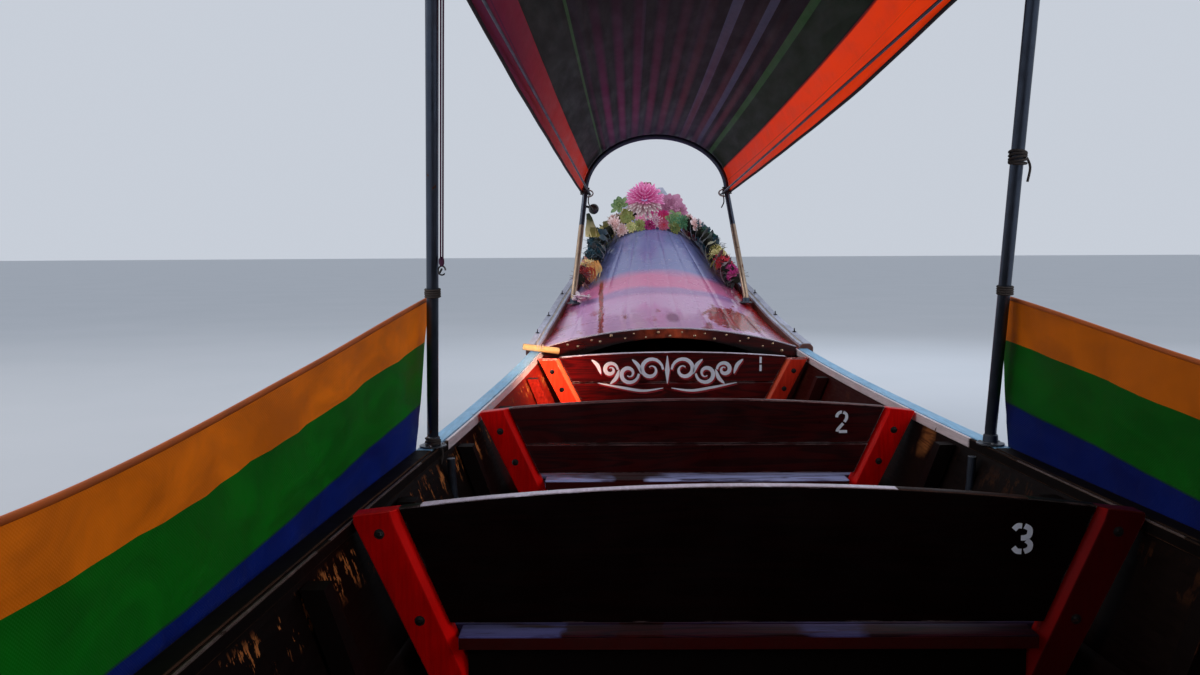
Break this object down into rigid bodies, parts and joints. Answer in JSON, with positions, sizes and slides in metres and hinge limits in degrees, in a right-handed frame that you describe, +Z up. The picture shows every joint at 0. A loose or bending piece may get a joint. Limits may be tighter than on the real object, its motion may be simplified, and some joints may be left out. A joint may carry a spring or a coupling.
{
  "type": "long-tail passenger boat",
  "caption": "Planked wooden river boat with backrest boards and benches, a cloth canopy on pipe hoops, and a turret engine that swings and tilts to drive a propeller on a long tail.",
  "frame": {"origin": "amidships on the centreline, at the waterline of the empty boat", "axes": "+Y to the bow, +X to starboard, +Z up"},
  "size_m": [1.818, 15.7666, 2.5503],
  "materials": {
    "hull_paint": "dark brown paint, semi-gloss, chipped to orange-brown wood in spots",
    "trim_paint": "dark red gloss paint, worn at its edges",
    "varnished_board": "dark mahogany under gloss varnish, light worn top edge, white row numbers",
    "red_paint": "bright red gloss paint over wood, with dark bolt heads",
    "bench_wood": "reddish varnished planks, glossy",
    "floor_wood": "bare worn boards, matt",
    "cap_light_blue": "light blue paint with a white inner edge, satin",
    "cap_dark": "near black paint with a thin light edge, satin",
    "rail_grey": "light grey-blue paint, weathered, brown inside",
    "deck_varnish": "red-brown varnish, high gloss",
    "stern_deck_wood": "brown paint, worn where it is walked on",
    "pipe_steel": "galvanised pipe, darkened, satin",
    "canopy_cloth": "coated cloth in red-orange, dark green and deep purple bands",
    "curtain_cloth": "coated cloth in orange, green and blue bands",
    "garland_flowers": "plastic flowers, leaves and satin ribbons",
    "bamboo": "yellow bamboo, satin",
    "tank_plastic": "blue moulded plastic",
    "painted_steel": "dark grey-blue paint over steel, rubbed bare at edges",
    "cast_iron": "grey-green engine paint, oily",
    "rusty_steel": "heat-stained steel with rust",
    "bronze": "cast bronze, polished by use"
  },
  "bodies": {
    "root": {"planking_bow_port": "hull_paint", "planking_bow_starboard": "hull_paint", "planking_middle_port": "hull_paint", "planking_middle_starboard": "hull_paint", "planking_stern_port": "hull_paint", "planking_stern_starboard": "hull_paint", "framing": "hull_paint", "keel_and_stem": "trim_paint", "transom": "trim_paint", "coaming": "trim_paint", "backrest_1": "varnished_board", "backrest_2": "varnished_board", "backrest_3": "varnished_board", "backrest_4": "varnished_board", "backrest_5": "varnished_board", "backrest_6": "varnished_board", "backrest_7": "varnished_board", "seat_frame_1": "red_paint", "seat_frame_2": "red_paint", "seat_frame_3": "red_paint", "seat_frame_4": "red_paint", "seat_frame_5": "red_paint", "seat_frame_6": "red_paint", "seat_frame_7": "red_paint", "bench_1": "bench_wood", "bench_2": "bench_wood", "bench_3": "bench_wood", "bench_4": "bench_wood", "bench_5": "bench_wood", "bench_6": "bench_wood", "driver_seat": "bench_wood", "floorboards": "floor_wood", "gunwale_fore_port": "cap_light_blue", "gunwale_fore_starboard": "cap_light_blue", "gunwale_aft_port": "cap_dark", "gunwale_aft_starboard": "cap_dark", "toe_rail_port": "rail_grey", "toe_rail_starboard": "rail_grey", "foredeck": "deck_varnish", "stern_deck": "stern_deck_wood", "front_hoop": "pipe_steel", "canopy_hoop_1": "pipe_steel", "canopy_hoop_2": "pipe_steel", "canopy_hoop_3": "pipe_steel", "canopy_rail_port": "pipe_steel", "canopy_rail_starboard": "pipe_steel", "canopy": "canopy_cloth", "curtain_port": "curtain_cloth", "curtain_starboard": "curtain_cloth", "garland": "garland_flowers", "bow_peg": "bamboo", "fuel_tank": "tank_plastic", "turret_base": "painted_steel"},
    "turret": {"turret_yoke": "painted_steel"},
    "engine": {"engine_cradle": "painted_steel", "engine_block": "cast_iron", "exhaust": "rusty_steel", "air_cleaner": "painted_steel", "tail_tube": "painted_steel"},
    "propeller": {"propeller": "bronze"}
  },
  "joints": [
    {"name": "turret_swing", "type": "hinge", "parent": "root", "child": "turret", "pos_m": [0, -5.3, 0.76], "axis": [0, 0, 1], "range_deg": [-38, 38]},
    {"name": "engine_tilt", "type": "hinge", "parent": "turret", "child": "engine", "pos_m": [0, -5.3, 1], "axis": [1, 0, 0], "range_deg": [-22, 4]},
    {"name": "propeller_spin", "type": "hinge", "parent": "engine", "child": "propeller", "pos_m": [0, -9.38739, -0.21241], "axis": [0, 0.9511, 0.309], "continuous": true}
  ]
}
